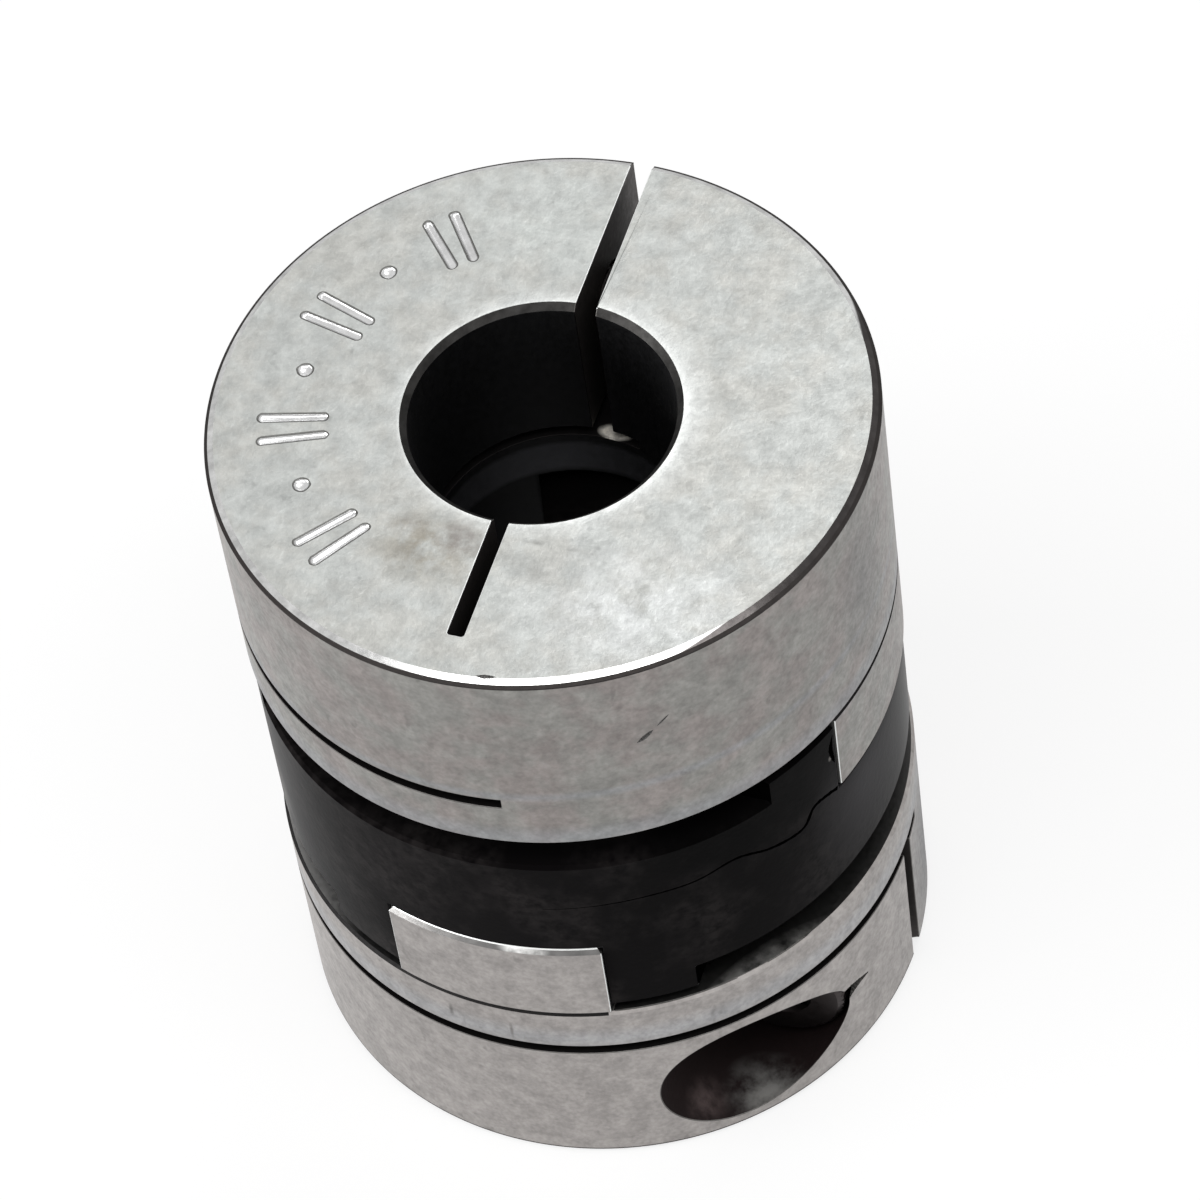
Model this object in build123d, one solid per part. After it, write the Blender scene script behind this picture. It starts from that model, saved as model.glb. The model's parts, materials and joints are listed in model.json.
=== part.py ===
"""Clamp-type Oldham coupling for two 10 mm shafts.

Two identical split aluminium hubs face each other across a grooved acetal centre disc.
Each hub has a tenon across its inner face, at right angles to the other hub's tenon, and
each tenon slides in its own groove of the disc. One socket-head screw closes each hub on
its shaft.

Frame: millimetres, +Z up the shaft axis, origin at the centre of the lower end face.
The lower tenon and its groove run along Y, the upper tenon and its groove along X.
"""
from build123d import *

import os

# Hubs
HUB_DIAMETER = 25.0
BORE_DIAMETER = 10.0
CLAMP_LENGTH = 7.1           # split part of the hub, from the end face to the relief slit
FLANGE_THICKNESS = 2.2       # unsplit part that carries the tenon
END_CHAMFER_WIDTH = 0.35     # round the end face, measured along the radius
END_CHAMFER_DEPTH = 0.2      # the same, measured along the axis
BORE_CHAMFER = 0.25
RIM_GROOVE_DEPTH = 0.12      # V turned round the rim where the tenon meets the flange

# Slits that free the clamping arm
CLAMP_SLIT_WIDTH = 0.82      # along the axis, open at the rim
HINGE_SLIT_WIDTH = 0.65      # the same cut's narrower, blind end
HINGE_CORNER_RADIUS = 0.12   # in the two corners of the blind end
SLIT_OFFSET = 0.1            # the cut's middle plane from the bore's, to the fixed side
HINGE_WALL = 2.0             # metal left outside the blind end
RELIEF_SLIT_WIDTH = 0.5      # across the axis, between the arm and the flange
RELIEF_SLIT_OVERRUN = 1.6    # how far it runs past the bore's middle plane

# Tenons
TENON_WIDTH = 8.5
TENON_HEIGHT = 4.25
TENON_CHAMFER = 0.2

# Centre disc
DISC_INSET = 0.1             # its rim inside the hubs' rims
DISC_HOLE_DIAMETER = 11.0
DISC_WEB = 2.7               # between the floors of the two grooves
CHEEK_WIDTH = 2.97           # raised land on each side of a groove
CHEEK_HEIGHT = 1.3           # the land above the relieved rim
DISC_RIM_CHAMFER = 0.15

# Clearances between the hubs and the disc
CHEEK_GAP = 0.4              # a cheek to the hub's face
TENON_TIP_CLEARANCE = 0.1    # a tenon's tip to its groove's floor
TENON_SIDE_CLEARANCE = 0.03  # each side of a tenon to its groove's wall

# Clamp screws, M3 x 8 socket head
THREAD_DIAMETER = 3.0
SCREW_LENGTH = 8.0
SCREW_TIP_CHAMFER = 0.4
HEAD_DIAMETER = 5.5
HEAD_HEIGHT = 3.0
HEAD_EDGE_CHAMFER = 0.2
SOCKET_ACROSS_FLATS = 2.5
SOCKET_DEPTH = 1.5

# How the screws sit in the hubs
HEAD_CLEARANCE = 0.2         # all round the head in its counterbore
SHANK_CLEARANCE = 0.15       # all round the shank in the arm
ARM_UNDER_HEAD = 2.1         # metal between the screw's seat and the clamp slit
HEAD_TO_RIM_WALL = 1.1       # metal between the counterbore's outer side and the rim
HEAD_TO_RELIEF_WALL = 0.55   # metal between the counterbore and the relief slit

# Sizes that follow from these
hub_radius = HUB_DIAMETER / 2
bore_radius = BORE_DIAMETER / 2
hub_length = CLAMP_LENGTH + RELIEF_SLIT_WIDTH + FLANGE_THICKNESS
tenon_tip = hub_length + TENON_HEIGHT

disc_radius = hub_radius - DISC_INSET
groove_width = TENON_WIDTH + 2 * TENON_SIDE_CLEARANCE
groove_depth = TENON_HEIGHT + TENON_TIP_CLEARANCE - CHEEK_GAP
cheeks_width = groove_width + 2 * CHEEK_WIDTH
disc_bottom = hub_length + CHEEK_GAP
disc_top = disc_bottom + DISC_WEB + 2 * groove_depth
total_length = disc_top + CHEEK_GAP + hub_length

shank_hole_radius = THREAD_DIAMETER / 2 + SHANK_CLEARANCE
counterbore_radius = HEAD_DIAMETER / 2 + HEAD_CLEARANCE
screw_offset = hub_radius - HEAD_TO_RIM_WALL - counterbore_radius
screw_height = CLAMP_LENGTH - HEAD_TO_RELIEF_WALL - counterbore_radius
arm_face = SLIT_OFFSET - CLAMP_SLIT_WIDTH / 2
screw_seat = arm_face - ARM_UNDER_HEAD

# A cutting tool runs this far past the surface that it opens
OVERCUT = 1.0

# Half a turn about this line swaps the two ends and their tenons' directions
END_SWAP = Axis((0, 0, total_length / 2), (1, 1, 0))

ON_FLOOR = (Align.CENTER, Align.CENTER, Align.MIN)
UNDER_FLOOR = (Align.CENTER, Align.CENTER, Align.MAX)


def turned_blank():
    """The hub as the lathe leaves it, as tall as its tenon, with a V at the flange's height."""
    section = Polygon(
        (bore_radius + BORE_CHAMFER, 0),
        (hub_radius - END_CHAMFER_WIDTH, 0),
        (hub_radius, END_CHAMFER_DEPTH),
        (hub_radius, hub_length - RIM_GROOVE_DEPTH),
        (hub_radius - RIM_GROOVE_DEPTH, hub_length),
        (hub_radius, hub_length + RIM_GROOVE_DEPTH),
        (hub_radius, tenon_tip - TENON_CHAMFER),
        (hub_radius - TENON_CHAMFER, tenon_tip),
        (bore_radius, tenon_tip),
        (bore_radius, BORE_CHAMFER),
        align=None,
    )
    return revolve(Plane.XZ * section, Axis.Z)


def shoulders():
    """What is milled away on both sides to leave the tenon, which runs along Y."""
    half_width = TENON_WIDTH / 2
    tenon_section = Polygon(
        (-half_width, 0),
        (half_width, 0),
        (half_width, TENON_HEIGHT - TENON_CHAMFER),
        (half_width - TENON_CHAMFER, TENON_HEIGHT),
        (TENON_CHAMFER - half_width, TENON_HEIGHT),
        (-half_width, TENON_HEIGHT - TENON_CHAMFER),
        align=None,
    )
    across = HUB_DIAMETER + 2 * OVERCUT
    swept_by_cutter = Box(across, across, TENON_HEIGHT + OVERCUT, align=ON_FLOOR)
    tenon = extrude(Plane.XZ * tenon_section, across / 2, both=True)
    return Pos(0, 0, hub_length) * (swept_by_cutter - tenon)


def clamp_slit():
    """The cut along the axis: open at the rim towards +X, narrower at the hinge towards -X."""
    height = CLAMP_LENGTH + RELIEF_SLIT_WIDTH / 2 + OVERCUT
    reach = hub_radius + OVERCUT
    depth = hub_radius - HINGE_WALL
    open_side = Box(reach, CLAMP_SLIT_WIDTH, height, align=(Align.MIN, Align.CENTER, Align.MIN))
    hinge_side = Box(depth, HINGE_SLIT_WIDTH, height, align=(Align.MAX, Align.CENTER, Align.MIN))
    blind_corners = hinge_side.edges().filter_by(Axis.Z).group_by(Axis.X)[0]
    hinge_side = fillet(blind_corners, HINGE_CORNER_RADIUS)
    return Pos(0, SLIT_OFFSET, -OVERCUT) * (open_side + hinge_side)


def relief_slit():
    """The saw cut across the axis that parts the arm, on the -Y side, from the flange."""
    width = HUB_DIAMETER + 2 * OVERCUT
    reach = hub_radius + OVERCUT + RELIEF_SLIT_OVERRUN
    cut = Box(width, reach, RELIEF_SLIT_WIDTH, align=(Align.CENTER, Align.MAX, Align.MIN))
    return Pos(0, RELIEF_SLIT_OVERRUN, CLAMP_LENGTH) * cut


def on_screw_axis(y):
    """The place at y on the lower screw's axis, turned so that +Z there points along +Y."""
    return Pos(screw_offset, y, screw_height) * Rot(-90, 0, 0)


def screw_holes():
    """Counterbore and clear hole in the arm, and the tapped hole through the fixed side."""
    past_rim = hub_radius + OVERCUT
    counterbore = Cylinder(counterbore_radius, past_rim, align=UNDER_FLOOR)
    clear_hole = Cylinder(shank_hole_radius, past_rim, align=UNDER_FLOOR)
    tapped_hole = Cylinder(THREAD_DIAMETER / 2, past_rim, align=ON_FLOOR)
    return on_screw_axis(screw_seat) * counterbore + on_screw_axis(0) * (clear_hole + tapped_hole)


def clamp_hub():
    """A whole hub in the lower one's place: end face down, tenon up."""
    return turned_blank() - shoulders() - clamp_slit() - relief_slit() - screw_holes()


def clamp_screw():
    """A socket-head cap screw in the lower hub, with its head on the seat, towards -Y."""
    shank = Cylinder(THREAD_DIAMETER / 2, SCREW_LENGTH, align=ON_FLOOR)
    shank = chamfer(shank.faces().sort_by(Axis.Z)[-1].edges(), SCREW_TIP_CHAMFER)
    head = Cylinder(HEAD_DIAMETER / 2, HEAD_HEIGHT, align=UNDER_FLOOR)
    head = chamfer(head.faces().sort_by(Axis.Z)[0].edges(), HEAD_EDGE_CHAMFER)
    hexagon = RegularPolygon(SOCKET_ACROSS_FLATS / 2, 6, major_radius=False)
    socket = extrude(Pos(0, 0, -HEAD_HEIGHT) * hexagon, SOCKET_DEPTH)
    return on_screw_axis(screw_seat) * (head + shank - socket)


def grooved_face():
    """What is milled off the disc's lower face: the groove along Y and the rim's relief."""
    across = 2 * (disc_radius + OVERCUT)
    groove = Box(groove_width, across, groove_depth + OVERCUT, align=ON_FLOOR)
    relief = Box(across, across, CHEEK_HEIGHT + OVERCUT, align=ON_FLOOR)
    relief -= Box(cheeks_width, across, CHEEK_HEIGHT + OVERCUT, align=ON_FLOOR)
    return Pos(0, 0, disc_bottom - OVERCUT) * (groove + relief)


def centre_disc():
    """The plastic disc: a groove in each face, at right angles, between raised cheeks."""
    height = disc_top - disc_bottom
    blank = Cylinder(disc_radius, height, align=ON_FLOOR)
    hole = Cylinder(DISC_HOLE_DIAMETER / 2, height, align=ON_FLOOR)
    lower_cut = grooved_face()
    disc = Pos(0, 0, disc_bottom) * (blank - hole) - lower_cut - lower_cut.rotate(END_SWAP, 180)
    arcs = disc.edges().filter_by(GeomType.CIRCLE)
    rim_arcs = arcs.group_by(lambda arc: round(arc.radius, 3))[-1]
    return chamfer(rim_arcs, DISC_RIM_CHAMFER)


lower_hub = clamp_hub()
lower_clamp_screw = clamp_screw()

os.makedirs("parts", exist_ok=True)
export_step(lower_hub, "parts/lower_hub.step")
export_step(lower_clamp_screw, "parts/lower_clamp_screw.step")
export_step(centre_disc(), "parts/centre_disc.step")
export_step(lower_hub.rotate(END_SWAP, 180), "parts/upper_hub.step")
export_step(lower_clamp_screw.rotate(END_SWAP, 180), "parts/upper_clamp_screw.step")
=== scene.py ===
"""The looks of a clamp-type Oldham coupling for two 10 mm shafts.

Two split aluminium hubs face each other across a grooved black acetal disc, and one
socket-head screw closes each hub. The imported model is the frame: every piece made here
stands for one of its nodes, has that node's size and place, and rides on that node's body.

Pieces are made in millimetres, in the lower hub's place, and set down in metres. The upper
hub and its screw are the lower ones turned over by half a turn.
"""
from __future__ import annotations

import json
import logging
import math
from contextlib import contextmanager
from dataclasses import dataclass, field
from enum import Enum
from typing import Iterable, Iterator, Sequence

import bmesh
import bpy
from bpy.types import ID, Material, Mesh, Node, NodeSocket, NodeTree, Object
from mathutils import Matrix, Vector

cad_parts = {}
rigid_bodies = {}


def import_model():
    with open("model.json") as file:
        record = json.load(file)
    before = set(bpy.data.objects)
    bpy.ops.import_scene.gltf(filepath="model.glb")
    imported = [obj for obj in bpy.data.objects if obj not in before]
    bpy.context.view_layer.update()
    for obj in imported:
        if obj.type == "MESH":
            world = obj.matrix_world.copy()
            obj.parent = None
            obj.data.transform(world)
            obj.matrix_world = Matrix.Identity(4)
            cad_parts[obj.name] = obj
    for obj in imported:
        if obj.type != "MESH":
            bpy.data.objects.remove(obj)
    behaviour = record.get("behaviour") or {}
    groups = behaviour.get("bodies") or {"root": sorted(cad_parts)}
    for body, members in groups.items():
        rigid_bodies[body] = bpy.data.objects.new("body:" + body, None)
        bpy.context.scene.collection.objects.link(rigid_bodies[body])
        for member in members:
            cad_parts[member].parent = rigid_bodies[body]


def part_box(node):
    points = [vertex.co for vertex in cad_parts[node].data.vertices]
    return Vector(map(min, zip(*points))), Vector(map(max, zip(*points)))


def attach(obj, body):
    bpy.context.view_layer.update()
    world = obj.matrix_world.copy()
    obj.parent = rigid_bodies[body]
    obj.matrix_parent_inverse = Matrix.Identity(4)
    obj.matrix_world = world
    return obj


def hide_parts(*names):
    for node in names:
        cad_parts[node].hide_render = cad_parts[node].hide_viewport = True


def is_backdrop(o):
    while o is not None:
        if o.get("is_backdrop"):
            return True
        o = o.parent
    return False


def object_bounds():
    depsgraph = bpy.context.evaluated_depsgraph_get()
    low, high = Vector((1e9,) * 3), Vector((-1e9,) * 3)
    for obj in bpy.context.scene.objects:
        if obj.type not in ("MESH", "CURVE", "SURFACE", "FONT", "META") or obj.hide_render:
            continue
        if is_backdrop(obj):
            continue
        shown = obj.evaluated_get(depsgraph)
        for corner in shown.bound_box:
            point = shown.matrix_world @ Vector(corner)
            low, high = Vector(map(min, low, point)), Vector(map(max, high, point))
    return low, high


log = logging.getLogger("coupling")

MM = 0.001
OVERCUT = 1.0  # a cutting tool runs this far past the surface that it opens
SMOOTH_UNDER = 12  # degrees between two faces, up to which their edge is shaded smooth

Point2 = tuple[float, float]
Point3 = tuple[float, float, float]
Colour = tuple[float, float, float]
Inputs = dict[str | int, object]


class Body(Enum):
    """The three parts of the coupling that slide on each other."""

    LOWER = "lower_half"
    MIDDLE = "middle"
    UPPER = "upper_half"


class Slot(Enum):
    """The record's material slots."""

    ALUMINIUM = "hub_aluminium"
    ACETAL = "disc_acetal"
    STEEL = "screw_steel"


# ---------------------------------------------------------------------------------------
# Node trees


class Graph:
    """Adds nodes to one shader or geometry tree and links them."""

    def __init__(self, tree: NodeTree) -> None:
        """Starts on an empty tree."""
        self.tree = tree
        tree.nodes.clear()

    def add(self, kind: str, inputs: Inputs | None = None, **settings: object) -> Node:
        """Adds a node.

        Args:
            kind: The node's type, as Blender names it.
            inputs: Values, or sockets to link, by the input's name or number.
            settings: The node's own properties.

        Returns:
            The new node.
        """
        node = self.tree.nodes.new(kind)
        for name, value in settings.items():
            setattr(node, name, value)
        for key, value in (inputs or {}).items():
            socket = node.inputs[key]
            if isinstance(value, NodeSocket):
                self.tree.links.new(value, socket)
            else:
                socket.default_value = value
        return node

    def out(self, kind: str, inputs: Inputs | None = None, **settings: object) -> NodeSocket:
        """Adds a node in the same way, and returns its first output."""
        return self.add(kind, inputs, **settings).outputs[0]

    def maths(self, operation: str, *values: object) -> NodeSocket:
        """One Math node on these values or sockets; returns its result."""
        return self.out("ShaderNodeMath", dict(enumerate(values)), operation=operation)

    def vectors(self, operation: str, *values: object) -> NodeSocket:
        """One Vector Math node on these values or sockets; returns its vector."""
        return self.out("ShaderNodeVectorMath", dict(enumerate(values)), operation=operation)

    def scaled(self, vector: NodeSocket, factor: object) -> NodeSocket:
        """The vector or colour, times that factor."""
        return self.out("ShaderNodeVectorMath", {0: vector, "Scale": factor}, operation="SCALE")

    def length(self, vector: NodeSocket) -> NodeSocket:
        """How long the vector is."""
        return self.add("ShaderNodeVectorMath", {0: vector}, operation="LENGTH").outputs["Value"]


class PatternTree(Graph):
    """A geometry tree with named inputs, whose result becomes one plain mesh."""

    def __init__(self, name: str, sizes: dict[str, float]) -> None:
        """Starts the tree with one input for each size.

        Args:
            name: The tree's name.
            sizes: The inputs' names and values; an int makes a whole-number input.
        """
        super().__init__(bpy.data.node_groups.new(name, "GeometryNodeTree"))
        self.sizes = sizes
        sockets = self.tree.interface
        sockets.new_socket("Start", in_out="INPUT", socket_type="NodeSocketGeometry")
        self.identifiers = {}
        for label, value in sizes.items():
            kind = "NodeSocketInt" if isinstance(value, int) else "NodeSocketFloat"
            socket = sockets.new_socket(label, in_out="INPUT", socket_type=kind)
            self.identifiers[label] = socket.identifier
        sockets.new_socket("Result", in_out="OUTPUT", socket_type="NodeSocketGeometry")
        self.source = self.add("NodeGroupInput")

    def size(self, label: str) -> NodeSocket:
        """The input with that name."""
        return self.source.outputs[label]

    def vector(self, x: object = 0.0, y: object = 0.0, z: object = 0.0) -> NodeSocket:
        """A vector of three values or sockets."""
        return self.out("ShaderNodeCombineXYZ", {0: x, 1: y, 2: z})

    def lifted(self, shape: NodeSocket, height: str) -> NodeSocket:
        """The shape, moved up Z by the input with that name."""
        lift = self.vector(z=self.size(height))
        return self.out("GeometryNodeTransform", {"Geometry": shape, "Translation": lift})

    def ring(self, shape: NodeSocket) -> NodeSocket:
        """Copies of shape round the axis, at the inputs Count, Radius, First and Step (radians)."""
        index = self.out("GeometryNodeInputIndex")
        angle = self.maths("MULTIPLY_ADD", index, self.size("Step"), self.size("First"))
        x = self.maths("MULTIPLY", self.maths("COSINE", angle), self.size("Radius"))
        y = self.maths("MULTIPLY", self.maths("SINE", angle), self.size("Radius"))
        where = {"Count": self.size("Count"), "Position": self.vector(x, y)}
        points = self.out("GeometryNodePoints", where)
        turn = self.out("FunctionNodeEulerToRotation", {0: self.vector(z=angle)})
        copies = {"Points": points, "Instance": shape, "Rotation": turn}
        return self.out("GeometryNodeInstanceOnPoints", copies)

    def make(self, result: NodeSocket, finish: Finish, start: Mesh | None = None) -> Object:
        """Ends the tree and turns it into an object with a plain mesh.

        Args:
            result: The geometry to end with.
            finish: Its finish.
            start: The mesh that the tree works on, if it needs one.

        Returns:
            The object, with no modifier left on it.
        """
        realized = self.out("GeometryNodeRealizeInstances", {0: result})
        dressed = {0: realized, "Material": finish.material()}
        self.add("NodeGroupOutput", {0: self.out("GeometryNodeSetMaterial", dressed)})
        name = self.tree.name
        thing = _link(name, start or bpy.data.meshes.new(name))
        modifier = thing.modifiers.new(name, "NODES")
        modifier.node_group = self.tree
        for label, identifier in self.identifiers.items():
            modifier[identifier] = self.sizes[label]
        return settle(thing)


# ---------------------------------------------------------------------------------------
# Finishes


class SurfaceGraph(Graph):
    """The parts that every finish is put together from. Lengths are in millimetres."""

    def __init__(self, material: Material) -> None:
        """Empties the material's tree and finds the object's own coordinates in millimetres."""
        super().__init__(material.node_tree)
        place = self.add("ShaderNodeTexCoord").outputs["Object"]
        self.place = self.out("ShaderNodeMapping", {"Vector": place, "Scale": (1 / MM,) * 3})

    def noise(self, per_mm: float, detail: float = 3.0, stretch: Point3 = (1, 1, 1)) -> NodeSocket:
        """Cloudy noise from 0 to 1.

        Args:
            per_mm: How many clouds there are to a millimetre.
            detail: How many finer layers lie on the first.
            stretch: Scale along each axis, under 1 to draw the clouds out.

        Returns:
            The noise's value socket.
        """
        stretched = self.out("ShaderNodeMapping", {"Vector": self.place, "Scale": stretch})
        clouds = {"Vector": stretched, "Scale": per_mm, "Detail": detail, "Roughness": 0.6}
        return self.add("ShaderNodeTexNoise", clouds).outputs["Fac"]

    def span(
        self, value: object, low: float, high: float, start: float = 0.0, end: float = 1.0
    ) -> NodeSocket:
        """value, where it goes from low to high, made to go from start to end."""
        ends = {"Value": value, "From Min": low, "From Max": high, "To Min": start, "To Max": end}
        return self.out("ShaderNodeMapRange", ends)

    def blend(self, share: object, first: object, second: object) -> NodeSocket:
        """Colour first, with that share of second."""
        inputs = {"Factor": share, 6: _rgba(first), 7: _rgba(second)}
        return self.add("ShaderNodeMix", inputs, data_type="RGBA").outputs[2]

    def near(self, spot: Point3, reach: Point3, soft: float) -> NodeSocket:
        """A soft-edged patch.

        Args:
            spot: Its middle.
            reach: Its half size along each axis.
            soft: The share of its size over which it fades.

        Returns:
            1 inside the patch, 0 outside it.
        """
        from_middle = self.vectors("SUBTRACT", self.place, spot)
        distance = self.length(self.vectors("DIVIDE", from_middle, reach))
        return self.span(distance, 1.0, 1.0 - soft)

    def bump(self, height: NodeSocket, depth_mm: float) -> NodeSocket:
        """A normal that follows height, which goes from 0 to 1, over that depth."""
        return self.out("ShaderNodeBump", {"Height": height, "Distance": depth_mm * MM})

    def surface(self, inputs: Inputs) -> None:
        """Ends the tree in a Principled shader with these inputs."""
        self.add("ShaderNodeOutputMaterial", {"Surface": self.out("ShaderNodeBsdfPrincipled", inputs)})


def _rgba(colour: object) -> object:
    """A colour of three numbers with its alpha; a socket as it is."""
    return colour if isinstance(colour, NodeSocket) else (*colour, 1.0)


def _new_material(name: str, viewport: Colour) -> Material:
    """A node material with that name and solid-view colour."""
    material = bpy.data.materials.new(name)
    material.use_nodes = True
    material.diffuse_color = (*viewport, 1.0)
    return material


@dataclass(frozen=True)
class Clouds:
    """Cloudy noise with more contrast: clear up to low, thick from high on."""

    per_mm: float
    low: float
    high: float
    detail: float = 4.0
    stretch: Point3 = (1, 1, 1)

    def drift(self, g: SurfaceGraph, clear: float = 0.0, thick: float = 1.0) -> NodeSocket:
        """A value that goes from clear to thick with the clouds."""
        noise = g.noise(self.per_mm, self.detail, self.stretch)
        return g.span(noise, self.low, self.high, clear, thick)


MIDDLE_SHARE = (0.35, 0.65)  # the span of a noise in which most of its values lie
GRAIN_SHARE = (0.3, 0.7)  # the same, a little wider
MOTTLED = Clouds(0.9, 0.35, 0.6)
TINTED = Clouds(0.5, 0.42, 0.6)
SPECKED = Clouds(1.9, 0.66, 0.74, 1.5, (1.0, 1.0, 0.6))
BLOOMING = Clouds(0.3, 0.42, 0.66)
DUSTY = Clouds(2.2, 0.3, 0.6, 2.0)


@dataclass(frozen=True)
class Patch:
    """A soft-edged spot of another tone on a surface, in millimetres."""

    spot: Point3
    reach: Point3
    colour: Colour
    share: float
    soft: float = 0.8  # the share of its size over which it fades
    mottled: bool = True

    def over(self, g: SurfaceGraph, colour: NodeSocket) -> NodeSocket:
        """The colour with this spot laid over it."""
        cover = g.near(self.spot, self.reach, self.soft)
        if self.mottled:
            cover = g.maths("MULTIPLY", cover, MOTTLED.drift(g))
        return g.blend(g.maths("MULTIPLY", cover, self.share), colour, self.colour)


@dataclass(frozen=True)
class Finish:
    """A machined surface: its own uneven colour, patches over it, and a fine grain."""

    name: str
    colour: Colour
    roughness: float
    patches: tuple[Patch, ...] = ()
    grain_depth: float = 0.004  # millimetres
    grain_per_mm: float = 4.5
    roughness_spread: float = 0.06  # how far the grain takes the roughness to each side
    specular: float = 0.5

    def ground(self, g: SurfaceGraph) -> NodeSocket:
        """The colour under the patches."""
        raise NotImplementedError

    def weathered(self, g: SurfaceGraph, colour: NodeSocket, grain: NodeSocket) -> NodeSocket:
        """The colour with what lies over the patches too; here, nothing."""
        return colour

    def lustre(self) -> Inputs:
        """The shader's other inputs."""
        raise NotImplementedError

    def material(self) -> Material:
        """The material, made once and found by name after that."""
        known = bpy.data.materials.get(self.name)
        if known:
            return known
        made = _new_material(self.name, self.colour)
        g = SurfaceGraph(made)
        colour = self.ground(g)
        for patch in self.patches:
            colour = patch.over(g, colour)
        grain = g.noise(self.grain_per_mm)
        smooth, rough = self.roughness - self.roughness_spread, self.roughness + self.roughness_spread
        shared = {
            "Base Color": self.weathered(g, colour, grain),
            "Roughness": g.span(grain, *GRAIN_SHARE, smooth, rough),
            "Specular IOR Level": self.specular,
            "Normal": g.bump(grain, self.grain_depth),
        }
        g.surface(shared | self.lustre())
        return made


@dataclass(frozen=True)
class MachinedMetal(Finish):
    """Bare cut metal: matt, with an uneven mottle, a wandering tint and a few dark specks."""

    tint: Colour = (1.0, 1.0, 1.0)  # what the tinted areas multiply the colour by
    mottle: float = 0.05  # how far the tone wanders to each side
    mottle_per_mm: float = 1.6
    fine: float = 0.0  # the same for the fine mottle
    specks: float = 0.0  # how much darker a speck is
    metallic: float = 1.0

    def ground(self, g: SurfaceGraph) -> NodeSocket:
        """The metal's colour, with tinted areas."""
        tinted = tuple(c * t for c, t in zip(self.colour, self.tint))
        return g.blend(TINTED.drift(g), self.colour, tinted)

    def weathered(self, g: SurfaceGraph, colour: NodeSocket, grain: NodeSocket) -> NodeSocket:
        """The colour, mottled and specked."""
        wander = Clouds(self.mottle_per_mm, *MIDDLE_SHARE, 3.0)
        colour = g.scaled(colour, wander.drift(g, 1 - self.mottle, 1 + self.mottle))
        colour = g.scaled(colour, g.span(grain, *MIDDLE_SHARE, 1 + self.fine, 1 - self.fine))
        return g.scaled(colour, SPECKED.drift(g, 1.0, 1 - self.specks)) if self.specks else colour

    def lustre(self) -> Inputs:
        """How much of a metal it is."""
        return {"Metallic": self.metallic}


@dataclass(frozen=True)
class MachinedPlastic(Finish):
    """Machined acetal: black and dull, with a faint dusty bloom."""

    grain_depth: float = 0.006
    grain_per_mm: float = 4.0
    specular: float = 0.0
    bloom: Colour = (0.001, 0.001, 0.001)
    sheen: float = 0.0
    sheen_roughness: float = 0.29

    def ground(self, g: SurfaceGraph) -> NodeSocket:
        """The plastic's colour, with clouds of bloom."""
        dust = g.maths("MULTIPLY", BLOOMING.drift(g), DUSTY.drift(g))
        return g.blend(dust, self.colour, self.bloom)

    def lustre(self) -> Inputs:
        """The sheen of its dusty skin."""
        return {"Sheen Weight": self.sheen, "Sheen Roughness": self.sheen_roughness}


# Patches on the upper end face: painted light, and real stains.
END_FACE_STAINS_AND_PAINTED_LIGHT = (
    # the first two lighten the front-right and back areas of the face: painted light
    Patch((6.2, -7.9, 31.0), (5.2, 3.8, 1.0), (0.56, 0.572, 0.568), 0.95, 0.9),
    Patch((-3.0, 8.7, 31.0), (5.0, 3.4, 1.0), (0.48, 0.50, 0.484), 0.9, 0.9),
    # these two make a bright ring round the bore's edge: painted highlight
    Patch((0.3, 0.1, 31.0), (6.1, 6.1, 0.5), (0.60, 0.615, 0.605), 1.0, 0.2, False),
    Patch((0.1, 0.0, 31.0), (5.48, 5.48, 0.5), (0.74, 0.755, 0.74), 0.9, 0.06, False),
    # the rest are brownish stains and a faint streak on the face
    Patch((-2.0, -6.9, 31.0), (2.9, 2.0, 1.0), (0.27, 0.25, 0.21), 0.9),
    Patch((-1.0, -6.3, 31.0), (1.3, 1.0, 1.0), (0.23, 0.21, 0.205), 0.7),
    Patch((-3.2, -6.1, 31.0), (0.9, 0.7, 1.0), (0.21, 0.19, 0.165), 0.6),
    Patch((2.1, -5.85, 31.0), (1.5, 0.17, 1.0), (0.20, 0.20, 0.19), 0.75),
    Patch((2.3, -6.9, 31.0), (1.8, 1.0, 1.0), (0.30, 0.30, 0.285), 0.8),
)
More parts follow.
